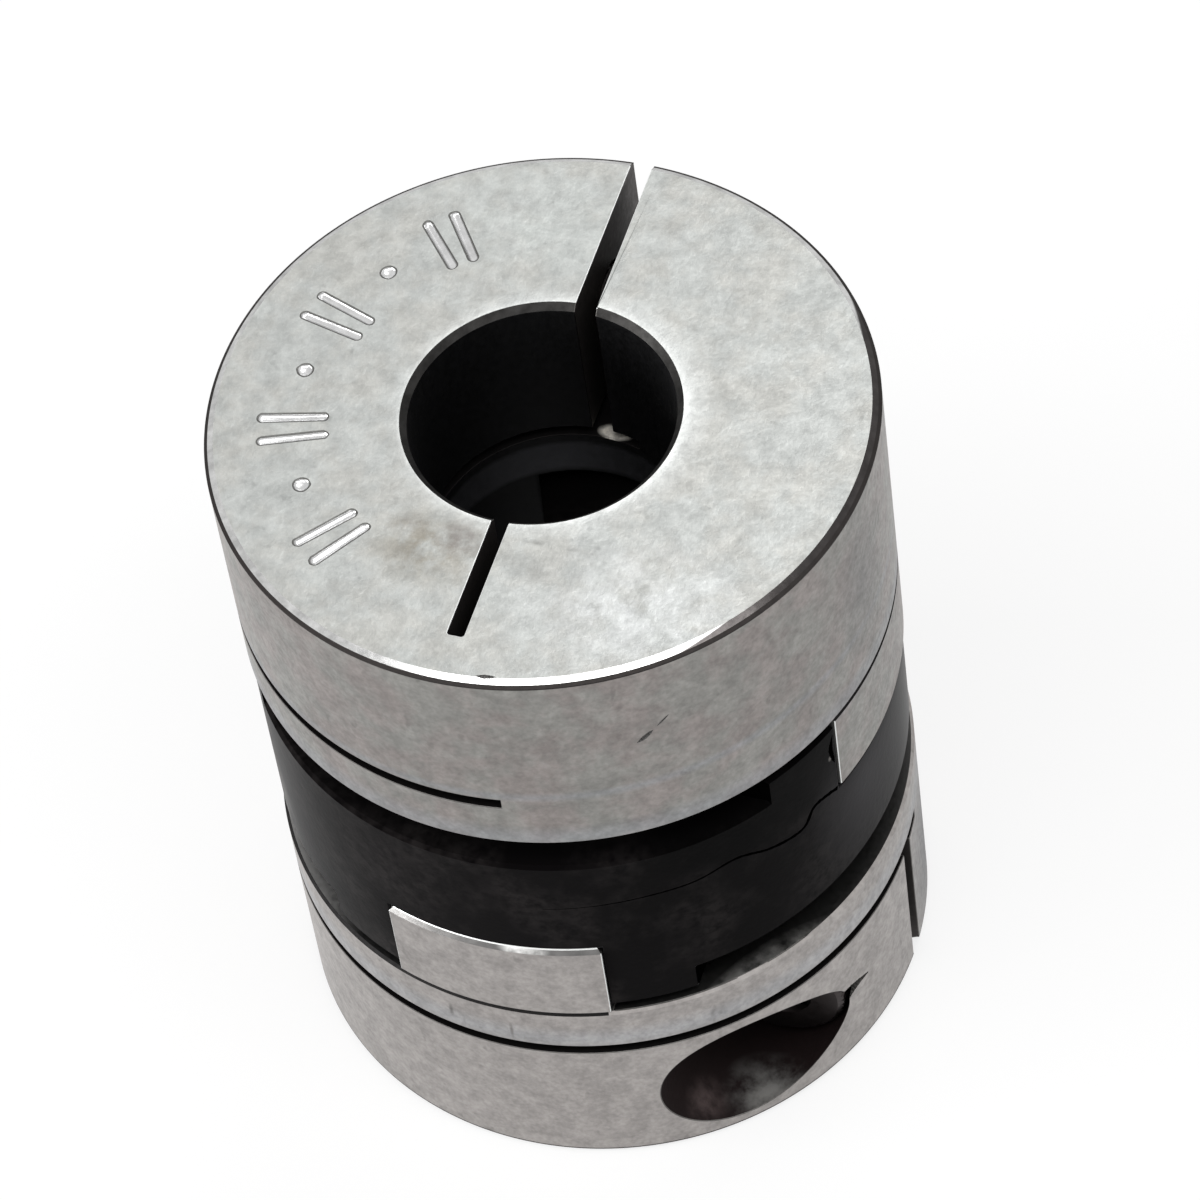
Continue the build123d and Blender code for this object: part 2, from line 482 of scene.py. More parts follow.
# Patches on the hubs' sides: painted light and shade, and a few real marks.
SIDE_MARKS_AND_PAINTED_LIGHT = (
    # lighter over the whole lower hub: painted light
    Patch((0.0, 0.0, 3.5), (60.0, 60.0, 12.6), (0.326, 0.307, 0.296), 1.0, 0.12, False),
    # dark at the foot of the lower hub's fixed side beyond the slit: painted shade
    Patch((12.0, 3.4, 3.0), (4.2, 3.8, 7.6), (0.09, 0.092, 0.098), 0.9, 0.85, False),
    # three lighter bluish bands along the flanges and just above the upper relief slit: painted sheen
    Patch((0.0, 0.0, 8.05), (60.0, 60.0, 0.85), (0.33, 0.34, 0.357), 0.65, 0.9, False),
    Patch((0.0, 0.0, 21.6), (60.0, 60.0, 0.8), (0.265, 0.275, 0.292), 0.65, 0.9, False),
    Patch((0.0, 0.0, 24.15), (60.0, 60.0, 0.32), (0.265, 0.275, 0.292), 0.6, 0.9, False),
    # darker on the upper hub's +X side: painted shade
    Patch((12.4, -1.5, 26.5), (1.6, 2.3, 4.5), (0.18, 0.176, 0.172), 0.88, 0.9, False),
    # small dark spots on the rims, and two short dark streaks on the lower flange
    Patch((7.2, -10.2, 27.55), (0.35, 0.35, 0.45), (0.13, 0.125, 0.12), 0.6),
    Patch((9.75, -7.8, 28.5), (0.3, 0.3, 0.3), (0.16, 0.16, 0.155), 0.6),
    Patch((11.1, -5.7, 25.9), (0.3, 0.3, 0.4), (0.16, 0.16, 0.155), 0.6),
    Patch((-2.19, -12.3, 8.6), (0.12, 0.3, 0.5), (0.12, 0.115, 0.11), 0.8, 0.8, False),
    Patch((0.3, -12.5, 8.35), (0.1, 0.3, 0.6), (0.14, 0.13, 0.125), 0.8, 0.8, False),
)
# lightens the upper end chamfer except at its +X side, which stays dark: painted highlight and painted
# shade
CHAMFER_PAINTED_HIGHLIGHT = Patch((-2.49, 0.22, 31.0), (14.3, 14.3, 9.0), (0.52, 0.52, 0.515), 1.0, 0.005, False)
TENON_GLINT = Patch((1.35, -12.25, 14.0), (1.1, 0.6, 0.4), (0.9, 0.9, 0.88), 1.0, 0.6)
# a bright spot on the relief slit's floor under the clamp slit: painted glint
PAINTED_SLIT_FOOT_GLINT = Patch((0.5, 5.35, 23.4), (0.8, 0.42, 0.15), (0.95, 0.91, 0.83), 1.0, 0.35)
LIT_BORE = Patch((0.0, 0.0, 22.15), (9.0, 9.0, 1.1), (0.15, 0.15, 0.165), 1.0, 0.2, False)
# Lighter patches at the counterbore's mouth: painted light on its lower lip, and a lighter reddish-brown
# area up its side.
PAINTED_LIGHT_AT_BORE_MOUTH = (
    Patch((9.0, -8.3, 0.5), (2.5, 2.0, 1.1), (0.15, 0.147, 0.142), 0.95),
    Patch((8.9, -8.6, 0.6), (1.1, 1.0, 0.5), (0.2, 0.195, 0.185), 0.6),
    Patch((6.6, -9.6, 1.2), (1.2, 1.3, 1.1), (0.075, 0.056, 0.055), 0.9),
)
# Lighter on the lower shoulder's outer strip at the front right and under the disc on the left: painted
# light over the shoulder's painted shade.
SHOULDER_PAINTED_LIGHT = (
    Patch((17.0, -13.9, 9.8), (10.4, 10.4, 0.6), (0.48, 0.47, 0.455), 1.0, 0.05),
    Patch((-9.6, -7.8, 9.8), (4.4, 4.4, 1.0), (0.32, 0.315, 0.31), 0.95, 0.5, False),
)

END_FACE = MachinedMetal(
    "hub_end_face", (0.422, 0.434, 0.422), 0.38, END_FACE_STAINS_AND_PAINTED_LIGHT, 0.012,
    tint=(1.0, 0.975, 0.955), mottle=0.11, mottle_per_mm=1.3, fine=0.08, specks=0.12,
)
RIM = MachinedMetal(
    "hub_rim", (0.247, 0.243, 0.230), 0.42, SIDE_MARKS_AND_PAINTED_LIGHT, 0.008,
    tint=(1.02, 0.945, 0.955), mottle=0.14, mottle_per_mm=1.2, fine=0.08, specks=0.18,
)
# near-black chamfer: painted shade, lifted by the painted highlight patch over most of the upper one
CHAMFER = MachinedMetal("hub_chamfer", (0.05, 0.046, 0.045), 0.22, (CHAMFER_PAINTED_HIGHLIGHT,), 0.001, mottle=0.2)
# near black: painted shade along the end chamfers' outer edges
EDGE_LINE = MachinedMetal("hub_edge_line", (0.03, 0.027, 0.026), 0.6)
# near black: painted shade on the bore's chamfer
BORE_LIP = MachinedMetal("hub_bore_lip", (0.032, 0.031, 0.03), 0.5, mottle=0.3)
# darker than the rim: painted shade on the tenon's chamfer, with a painted glint
TENON_EDGE = MachinedMetal("hub_tenon_edge", (0.15, 0.147, 0.144), 0.34, (TENON_GLINT,), mottle=0.15)
# bright: painted highlight on the edge breaks of the end face and the tenon's tip
BRIGHT_EDGE = MachinedMetal("hub_painted_highlight_edge", (0.72, 0.73, 0.72), 0.45)
EDGE = MachinedMetal("hub_edge", (0.13, 0.125, 0.12), 0.6)
# bright: painted highlight in the stamped dents
STAMP_PAINTED_HIGHLIGHT = MachinedMetal("hub_stamp_painted_highlight", (0.6, 0.6, 0.6), 0.22, mottle=0.1)
# dark: painted shade round the stamped dents
BRUISE_PAINTED_SHADE = MachinedMetal("hub_bruise_painted_shade", (0.11, 0.11, 0.105), 0.5)
SCORED = MachinedMetal("hub_scored", (0.05, 0.048, 0.046), 0.6)
SCUFFED = MachinedMetal("hub_scuffed", (0.11, 0.108, 0.105), 0.6)
# near black: painted shade inside the bore, with a lighter painted band lower down and a painted glint
BORE = MachinedMetal("hub_bore", (0.04, 0.04, 0.042), 0.45, (LIT_BORE, PAINTED_SLIT_FOOT_GLINT))
# dark: painted shade on the clamp slit's walls
SAWN = MachinedMetal("hub_sawn", (0.06, 0.054, 0.052), 0.55)
# near black: painted shade in the relief slit and on the bore's edge breaks, with the painted glint at
# the slit's foot
DEEP_SAWN = MachinedMetal("hub_deep_sawn", (0.012, 0.011, 0.011), 0.6, (PAINTED_SLIT_FOOT_GLINT,))
# near-black brown: painted shade in the screw's holes
COUNTERBORE = MachinedMetal(
    "hub_counterbore", (0.012, 0.008, 0.008), 0.6, PAINTED_LIGHT_AT_BORE_MOUTH, specular=0.06, metallic=0.0
)
# near black: painted shade under the disc, also on the tenons' flanks and tips and the tapped threads
SHOULDER = MachinedMetal("hub_shoulder", (0.05, 0.049, 0.048), 0.42, SHOULDER_PAINTED_LIGHT)
# near black: painted shade in the groove at the tenon's foot
GROOVE = MachinedMetal("hub_groove", (0.015, 0.0145, 0.0145), 0.6)
OXIDE = MachinedMetal("black_oxide", (0.05, 0.043, 0.043), 0.4)

SHADED_ACETAL = Patch((9.6, -7.2, 19.2), (5.4, 5.4, 2.3), (0.001, 0.001, 0.001), 0.7, 0.25, False)
# lighter grey near the disc's left and right edges: painted sheen
ACETAL_PAINTED_SHEEN = (
    Patch((-10.2, -7.1, 13.0), (1.8, 1.7, 3.2), (0.085, 0.082, 0.08), 0.85, 0.9),
    Patch((12.0, -2.6, 15.5), (2.4, 3.8, 4.8), (0.034, 0.0325, 0.035), 0.9, 0.9, False),
)
SCUFF = Patch((11.62, -4.62, 19.1), (0.16, 0.16, 0.24), (0.20, 0.19, 0.18), 1.0, 0.5, False)
ACETAL = MachinedPlastic(
    "machined_acetal", (0.0028, 0.0024, 0.0026), 0.5, (SHADED_ACETAL, *ACETAL_PAINTED_SHEEN, SCUFF),
    bloom=(0.013, 0.0115, 0.0115), sheen=0.3,
)
# near black: on the disc's scratches, and painted shade on the relief's side walls
ACETAL_SCORES_AND_SHADE = MachinedPlastic("acetal_scores_and_painted_shade", (0.0005, 0.0005, 0.0005), 0.8)


# ---------------------------------------------------------------------------------------
# Workshop: meshes in millimetres


def _link(name: str, data: ID) -> Object:
    """A new object on that mesh, lamp or camera, in the scene."""
    thing = bpy.data.objects.new(name, data)
    bpy.context.scene.collection.objects.link(thing)
    return thing


@contextmanager
def editing(mesh: Mesh) -> Iterator[bmesh.types.BMesh]:
    """The mesh's corners, edges and faces, written back to it at the end."""
    bm = bmesh.new()
    bm.from_mesh(mesh)
    yield bm
    bm.to_mesh(mesh)
    bm.free()


def _from_bmesh(name: str, bm: bmesh.types.BMesh, finishes: Iterable[Finish]) -> Object:
    """An object from bm, with outward faces and one material slot for each finish."""
    bmesh.ops.recalc_face_normals(bm, faces=bm.faces)
    mesh = bpy.data.meshes.new(name)
    bm.to_mesh(mesh)
    bm.free()
    for finish in finishes:
        mesh.materials.append(finish.material())
    return _link(name, mesh)


def _round(sides: int) -> list[Point2]:
    """The corners of a regular outline, 1 mm from the axis."""
    turns = [math.tau * (k + 0.5) / sides for k in range(sides)]
    return [(math.cos(turn), math.sin(turn)) for turn in turns]


def alike(finish: Finish, outline: Iterable[Point2]) -> list[tuple[float, float, Finish]]:
    """An outline for turned(), with one finish all round."""
    return [(radius, height, finish) for radius, height in outline]


def turned(name: str, section: Sequence[tuple[float, float, Finish]], segments: int) -> Object:
    """A turned solid about Z.

    Args:
        name: The object's name.
        section: Its closed outline as (radius, height, finish of the face from here on).
        segments: Facets round the axis. A point at radius 0 becomes a pole.

    Returns:
        The closed solid.
    """
    finishes = list(dict.fromkeys(finish for _, _, finish in section))
    bm = bmesh.new()
    rings = []
    for radius, height, _ in section:
        if radius == 0:
            rings.append([bm.verts.new((0, 0, height))] * segments)
        else:
            rings.append([bm.verts.new((radius * x, radius * y, height)) for x, y in _round(segments)])
    for i, (_, _, finish) in enumerate(section):
        ring, after = rings[i], rings[(i + 1) % len(rings)]
        for k in range(segments):
            n = (k + 1) % segments
            corners = list(dict.fromkeys((ring[k], ring[n], after[n], after[k])))
            if len(corners) > 2:
                bm.faces.new(corners).material_index = finishes.index(finish)
    return _from_bmesh(name, bm, finishes)


def prism(
    name: str,
    outline: Sequence[Point2],
    start: float,
    end: float,
    finish: Finish,
    stand: Matrix | None = None,
) -> Object:
    """A straight-sided solid on an outline.

    Args:
        name: The object's name.
        outline: The corners in XY.
        start: Where it starts along Z.
        end: Where it ends along Z.
        finish: The finish of the faces, and of what it cuts.
        stand: How to turn it from there, if at all.

    Returns:
        The closed solid.
    """
    bm = bmesh.new()
    low = [bm.verts.new((x, y, start)) for x, y in outline]
    high = [bm.verts.new((x, y, end)) for x, y in outline]
    bm.faces.new(low)
    bm.faces.new(high)
    for k in range(len(outline)):
        n = (k + 1) % len(outline)
        bm.faces.new((low[k], low[n], high[n], high[k]))
    if stand:
        bm.transform(stand)
    return _from_bmesh(name, bm, [finish])


def rod(
    name: str,
    radius: float,
    start: float,
    end: float,
    finish: Finish,
    sides: int,
    stand: Matrix | None = None,
) -> Object:
    """A round or regular rod along Z from start to end, then turned by stand."""
    outline = [(radius * x, radius * y) for x, y in _round(sides)]
    return prism(name, outline, start, end, finish, stand)


def settle(thing: Object) -> Object:
    """Replaces an object's mesh by what its modifiers make of it, and removes them."""
    evaluated = thing.evaluated_get(bpy.context.evaluated_depsgraph_get())
    mesh = bpy.data.meshes.new_from_object(evaluated)
    thing.modifiers.clear()
    old, thing.data = thing.data, mesh
    bpy.data.meshes.remove(old)
    return thing


def moved(thing: Object, place: Matrix) -> Object:
    """The thing, its mesh moved by that matrix."""
    thing.data.transform(place)
    return thing


def combine(thing: Object, tools: Iterable[Object], operation: str = "DIFFERENCE") -> None:
    """Cuts, joins or intersects thing with each tool in turn, and uses the tools up."""
    for tool in tools:
        modifier = thing.modifiers.new("combine", "BOOLEAN")
        modifier.operation = operation
        modifier.solver = "EXACT"
        modifier.material_mode = "TRANSFER"
        modifier.object = tool
        settle(thing)
        bpy.data.objects.remove(tool)


def break_edges(
    thing: Object, width: float, sharper_than: float, finish: Finish, spared: Iterable[Finish] = ()
) -> int:
    """Takes a fine break off the sharp edges.

    Args:
        thing: The piece.
        width: How much comes off.
        sharper_than: The angle between two faces, in degrees, from which their edge is broken.
        finish: The finish of the break.
        spared: Finishes whose edges stay as they are.

    Returns:
        The number of the material slot that the breaks have.
    """
    mesh = thing.data
    if finish.material().name not in mesh.materials:
        mesh.materials.append(finish.material())
    slot = mesh.materials.find(finish.name)
    kept = {mesh.materials.find(other.name) for other in spared}
    with editing(mesh) as bm:
        weight = bm.edges.layers.float.new("bevel_weight_edge")
        for edge in bm.edges:
            if len(edge.link_faces) == 2 and edge.calc_face_angle() > math.radians(sharper_than):
                if not any(face.material_index in kept for face in edge.link_faces):
                    edge[weight] = 1.0
    modifier = thing.modifiers.new("break", "BEVEL")
    modifier.width = width
    modifier.segments = 2
    modifier.limit_method = "WEIGHT"
    modifier.use_clamp_overlap = False
    modifier.harden_normals = False
    modifier.material = slot
    settle(thing)
    return slot


def _part_finishes(mesh: Mesh) -> None:
    """Makes every edge between two finishes a sharp one, so that neither shades the other."""
    with editing(mesh) as bm:
        for edge in bm.edges:
            if len({face.material_index for face in edge.link_faces}) > 1:
                edge.smooth = False


def set_down(thing: Object, flip: Matrix | None, body: Body, node: str) -> None:
    """Puts a finished piece in its place, in metres, on its body.

    Args:
        thing: The piece, in millimetres in the lower end's place.
        flip: The turn that takes it to the upper end, if it belongs there.
        body: The body that it rides on.
        node: The node that it stands for.
    """
    place = Matrix.Scale(MM, 4) @ (flip or Matrix.Identity(4))
    mesh = thing.data
    mesh.transform(place)
    mesh.shade_smooth()
    mesh.set_sharp_from_angle(angle=math.radians(SMOOTH_UNDER))
    _part_finishes(mesh)
    mesh.update()
    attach(thing, body.value)
    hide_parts(node)
    low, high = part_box(node)
    over = max(max(low[i] - v.co[i], v.co[i] - high[i]) for v in mesh.vertices for i in range(3))
    log.info("%s: %d faces, %.3f mm past %s's box", thing.name, len(mesh.polygons), over / MM, node)


# ---------------------------------------------------------------------------------------
# Sub-assemblies


@dataclass
class ClampHub:
    """A split hub with a tenon across its inner face, in millimetres.

    End face at z 0, tenon up and along Y, clamp slit open towards +X, clamping arm on the
    -Y side.
    """

    radius: float = 12.5
    bore_radius: float = 5.0
    clamp_length: float = 7.1
    flange: float = 2.2
    end_chamfer_width: float = 0.35
    end_chamfer_depth: float = 0.2
    edge_line: float = 0.13  # near-black band along the end chamfer's outer edge: painted shade
    rim_shade_line: float = 0.06  # the same painted-shade band, this far down the rim
    bright_line: float = 0.05  # painted highlight along the tip's edge of the tenon's chamfer
    bore_chamfer: float = 0.25
    rim_groove: float = 0.12
    clamp_slit: float = 0.82
    hinge_slit: float = 0.65
    hinge_corner: float = 0.12
    slit_offset: float = 0.1
    hinge_wall: float = 2.0
    relief_slit: float = 0.5
    relief_overrun: float = 1.6
    tenon_width: float = 8.5
    tenon_height: float = 4.25
    tenon_chamfer: float = 0.2
    edge_break: float = 0.03
    break_angle: float = 50  # degrees between two faces, from which their edge is broken
    corner_steps: int = 6
    segments: int = 288

    @property
    def length(self) -> float:
        """From the end face to the face that carries the tenon."""
        return self.clamp_length + self.relief_slit + self.flange

    @property
    def tenon_tip(self) -> float:
        """The height of the tenon's tip."""
        return self.length + self.tenon_height

    def blank(self, name: str) -> Object:
        """The hub as the lathe leaves it, as tall as its tenon."""
        r, v, line = self.radius, self.rim_groove, self.edge_line
        slope = self.end_chamfer_depth / self.end_chamfer_width
        tip, c, shine = self.tenon_tip, self.tenon_chamfer, self.bright_line
        section = [
            (self.bore_radius + self.bore_chamfer, 0, END_FACE),
            (r - self.end_chamfer_width, 0, CHAMFER),
            # a near-black band at the chamfer's outer edge and down the rim: painted shade
            (r - line, self.end_chamfer_depth - line * slope, EDGE_LINE),
            (r, self.end_chamfer_depth, EDGE_LINE),
            (r, self.end_chamfer_depth + self.rim_shade_line, RIM),
            (r, self.length - v, GROOVE),
            (r - v, self.length, GROOVE),
            (r, self.length + v, RIM),
            (r, tip - c, TENON_EDGE),
            # a bright band at the tenon chamfer's tip edge: painted highlight
            (r - c + shine, tip - shine, BRIGHT_EDGE),
            (r - c, tip, SHOULDER),
            (self.bore_radius, tip, BORE),
            (self.bore_radius, self.bore_chamfer, BORE_LIP),
        ]
        return turned(name, section, self.segments)

    def shoulder_cutters(self) -> list[Object]:
        """What is milled away on each side to leave the tenon."""
        w, c, far = self.tenon_width / 2, self.tenon_chamfer, self.radius + OVERCUT
        base, tip = self.length, self.tenon_tip
        over = tip + OVERCUT
        profile = [(w, base), (far, base), (far, over), (w - c, over), (w - c, tip), (w, tip - c)]
        stand = Matrix.Rotation(math.radians(90), 4, "X")
        return [
            prism("shoulder", [(side * x, z) for x, z in profile], -far, far, SHOULDER, stand)
            for side in (1, -1)
        ]

    def slit_cutters(self) -> list[Object]:
        """The cut along the axis and the cut across it that free the arm."""
        far = self.radius + OVERCUT
        wide, narrow, y = self.clamp_slit / 2, self.hinge_slit / 2, self.slit_offset
        c = self.hinge_corner
        inner_x, inner_y = c - (self.radius - self.hinge_wall), narrow - c
        turns = [math.pi * (1 + k / (2 * self.corner_steps)) for k in range(self.corner_steps + 1)]
        lower_round = [(inner_x + c * math.cos(t), -inner_y + c * math.sin(t)) for t in turns]
        upper_round = [(x, -side) for x, side in reversed(lower_round)]
        blind = [(x, y + side) for x, side in (*upper_round, *lower_round)]
        low_side = [(0, y - narrow), (0, y - wide), (far, y - wide)]
        high_side = [(far, y + wide), (0, y + wide), (0, y + narrow)]
        outline = [*blind, *low_side, *high_side]
        across = [(-far, -far), (far, -far), (far, self.relief_overrun), (-far, self.relief_overrun)]
        middle = self.clamp_length + self.relief_slit / 2
        return [
            prism("clamp_slit", outline, -OVERCUT, middle, SAWN),
            prism("relief_slit", across, self.clamp_length, self.length - self.flange, DEEP_SAWN),
        ]

    def break_edges(self, hub: Object) -> None:
        """Breaks the hub's edges, coloured bright as a painted highlight on the end face and the tenon,
        and near black as painted shade down in the bore.
        """
        slot = break_edges(hub, self.edge_break, self.break_angle, EDGE, (GROOVE, EDGE_LINE))
        materials = hub.data.materials
        bright, dull = materials.find(BRIGHT_EDGE.name), materials.find(DEEP_SAWN.name)
        for face in hub.data.polygons:
            if face.material_index != slot:
                continue
            out, z = face.center.xy.length, face.center.z
            on_end = z < self.edge_break and out < self.radius - self.end_chamfer_width
            on_tenon = z > self.length + self.rim_groove and out > self.radius - self.tenon_chamfer
            if on_end or on_tenon:
                face.material_index = bright
            elif out < self.bore_radius + 2 * self.edge_break:
                face.material_index = dull

    def unshade_groove_past_tenon(self, hub: Object) -> None:
        """Gives the groove's lower side the rim's colour on the screw's side, where no tenon stands over
        it; elsewhere the groove's near-black colour is painted shade.
        """
        materials = hub.data.materials
        groove, rim = materials.find(GROOVE.name), materials.find(RIM.name)
        for face in hub.data.polygons:
            if face.material_index == groove and face.center.x > self.tenon_width / 2:
                face.material_index = rim

    def build(self, name: str, screw: "CapScrew") -> Object:
        """The whole hub in the lower end's place, with the holes for its screw."""
        hub = self.blank(name)
        combine(hub, self.shoulder_cutters())
        self.unshade_groove_past_tenon(hub)
        combine(hub, self.slit_cutters())
        combine(hub, screw.hole_cutters(self))
        return hub


class StampShape(Enum):
    """What one blow of the stamp leaves."""

    BAR = "bar"
    DOT = "dot"


@dataclass
class IndexMarks:
    """Plain index marks on the arm's end face: pairs of bars with a punched dot between.

    Each blow leaves a round-bottomed dent, coloured bright as a painted highlight, with a shallow bruise
    round its mouth, coloured dark as painted shade.
    """

    radius: float = 9.2
    middle: float = -90.5  # degrees round the axis
    step: float = 17.1  # degrees from one mark to the next
    pairs: int = 4
    bar_length: float = 2.6
    bar_width: float = 0.34
    bar_spacing: float = 6.0  # degrees between the two bars of a pair
    dot_width: float = 0.56
    depth: float = 0.13
    bruise: float = 0.06  # how far the bruise reaches past the dent
    bruise_depth: float = 0.04
    ragged: float = 0.05  # how unevenly the metal gave way
    ragged_per_mm: float = 2.6

    def _row(self, shape: StampShape, count: int, first: float, step: float, bruise: bool) -> Object:
        """One evenly spaced row of dents, or of the bruises round them.

        Args:
            shape: What is stamped.
            count: How many there are.
            first: Where the first one is, in degrees.
            step: From one to the next, in degrees.
            bruise: True for the bruises.

        Returns:
            The row's cutter.
        """
        bar = shape is StampShape.BAR
        width = self.bar_width if bar else self.dot_width
        sizes = {
            "Count": count,
            "Radius": self.radius,
            "First": math.radians(first),
            "Step": math.radians(step),
            "Half Width": width / 2 + (self.bruise if bruise else 0.0),
            "Stretch": (self.bar_length - self.bar_width) / 2 if bar else 0.0,
            "Depth": self.bruise_depth if bruise else self.depth,
            "Ragged": self.ragged,
        }
        g = PatternTree(f"stamped_{shape.value}", sizes)
        ball = g.out("GeometryNodeMeshIcoSphere", {"Radius": 1.0, "Subdivisions": 4})
        place = g.out("GeometryNodeInputPosition")
        side = g.maths("SIGN", g.out("ShaderNodeSeparateXYZ", {0: place}))
        size = g.vector(g.size("Half Width"), g.size("Half Width"), g.size("Depth"))
        drawn_out = g.vector(g.maths("MULTIPLY", side, g.size("Stretch")))
        shaped = g.vectors("ADD", g.vectors("MULTIPLY", place, size), drawn_out)
        dent = g.out("GeometryNodeSetPosition", {"Geometry": ball, "Position": shaped})
        row = g.out("GeometryNodeRealizeInstances", {0: g.ring(dent)})
        noise = g.add("ShaderNodeTexNoise", {"Scale": self.ragged_per_mm, "Detail": 1.0}).outputs["Color"]
        uneven = g.vectors("MULTIPLY", g.vectors("SUBTRACT", noise, (0.5, 0.5, 0.5)), (2.0, 2.0, 0.6))
        push = g.scaled(uneven, g.size("Ragged"))
        worn = g.out("GeometryNodeSetPosition", {"Geometry": row, "Offset": push})
        return g.make(worn, BRUISE_PAINTED_SHADE if bruise else STAMP_PAINTED_HIGHLIGHT)

    def cutters(self) -> list[Object]:
        """What the stamps press out of the end face: the bruises, and then the dents."""
        first = self.middle - (self.pairs - 1) * self.step
        rows = []
        for bruise in (True, False):
            for side in (-1, 1):
                start = first + side * self.bar_spacing / 2
                rows.append(self._row(StampShape.BAR, self.pairs, start, 2 * self.step, bruise))
            start = first + self.step
            rows.append(self._row(StampShape.DOT, self.pairs - 1, start, 2 * self.step, bruise))
        return rows


class Taper(Enum):
    """How a gouge thins out: (share of its depth at the start, middle and end)."""

    LENS = (0.15, 1.0, 0.15)
    TAIL = (1.0, 0.5, 0.08)


@dataclass
class Gouge:
    """A scratch over a turned surface, in millimetres and degrees."""

    name: str
    radius: float  # of the turned surface
    path: tuple[Point2, ...]  # (degrees round the axis, height)
    depth: float
    finish: Finish = SCORED
    taper: Taper = Taper.LENS
    ragged: float = 0.35  # how far its depth wanders
    seed: int = 7
    rings_per_point: int = 12
    sides: int = 8

    def cutter(self) -> Object:
        """The scratch as a thin cutter that follows the surface."""
        turns = [(math.radians(turn), height) for turn, height in self.path]
        line = bpy.data.meshes.new(self.name)
        steps = [(k, k + 1) for k in range(len(turns) - 1)]
        points = [(self.radius * math.cos(a), self.radius * math.sin(a), z) for a, z in turns]
        line.from_pydata(points, steps, [])
        start, middle, end = self.taper.value
        sizes = {
            "Surface Radius": self.radius,
            "Depth": self.depth,
            "Samples": self.rings_per_point * len(self.path),
            "Start Share": start,
            "Middle Share": middle,
            "End Share": end,
            "Ragged": self.ragged,
        }
        g = PatternTree(self.name, sizes)
        curve = g.out("GeometryNodeMeshToCurve", {0: g.size("Start")})
        smooth = g.out("GeometryNodeCurveSplineType", {0: curve}, spline_type="CATMULL_ROM")
        even = g.out("GeometryNodeResampleCurve", {"Curve": smooth, "Count": g.size("Samples")})
        place = g.out("GeometryNodeInputPosition")
        from_axis = g.length(g.vectors("MULTIPLY", place, (1, 1, 0)))
        out = g.maths("DIVIDE", g.size("Surface Radius"), from_axis)
        on_surface = g.vectors("MULTIPLY", place, g.vector(out, out, 1.0))
        path = g.out("GeometryNodeSetPosition", {"Geometry": even, "Position": on_surface})
        along = g.add("GeometryNodeSplineParameter").outputs["Factor"]
        back = g.maths("SUBTRACT", 1.0, along)
        hump = g.maths("MULTIPLY", g.maths("MULTIPLY", along, back), 4.0)
        first, last = g.size("Start Share"), g.size("End Share")
        ends = g.maths("ADD", g.maths("MULTIPLY", back, first), g.maths("MULTIPLY", along, last))
        mean = g.maths("MULTIPLY", g.maths("ADD", first, last), 0.5)
        rise = g.maths("SUBTRACT", g.size("Middle Share"), mean)
        width = g.maths("MULTIPLY_ADD", hump, rise, ends)
        limits = {"Min": g.maths("SUBTRACT", 1.0, g.size("Ragged")), "Max": 1.0, "Seed": self.seed}
        random = g.add("FunctionNodeRandomValue", limits, data_type="FLOAT").outputs["Value"]
        taper = g.maths("MULTIPLY", width, random)
        circle = {"Resolution": self.sides, "Radius": g.size("Depth")}
        ring = g.out("GeometryNodeCurvePrimitiveCircle", circle)
        swept = {"Curve": path, "Profile Curve": ring, "Scale": taper, "Fill Caps": True}
        return g.make(g.out("GeometryNodeCurveToMesh", swept), self.finish, line)


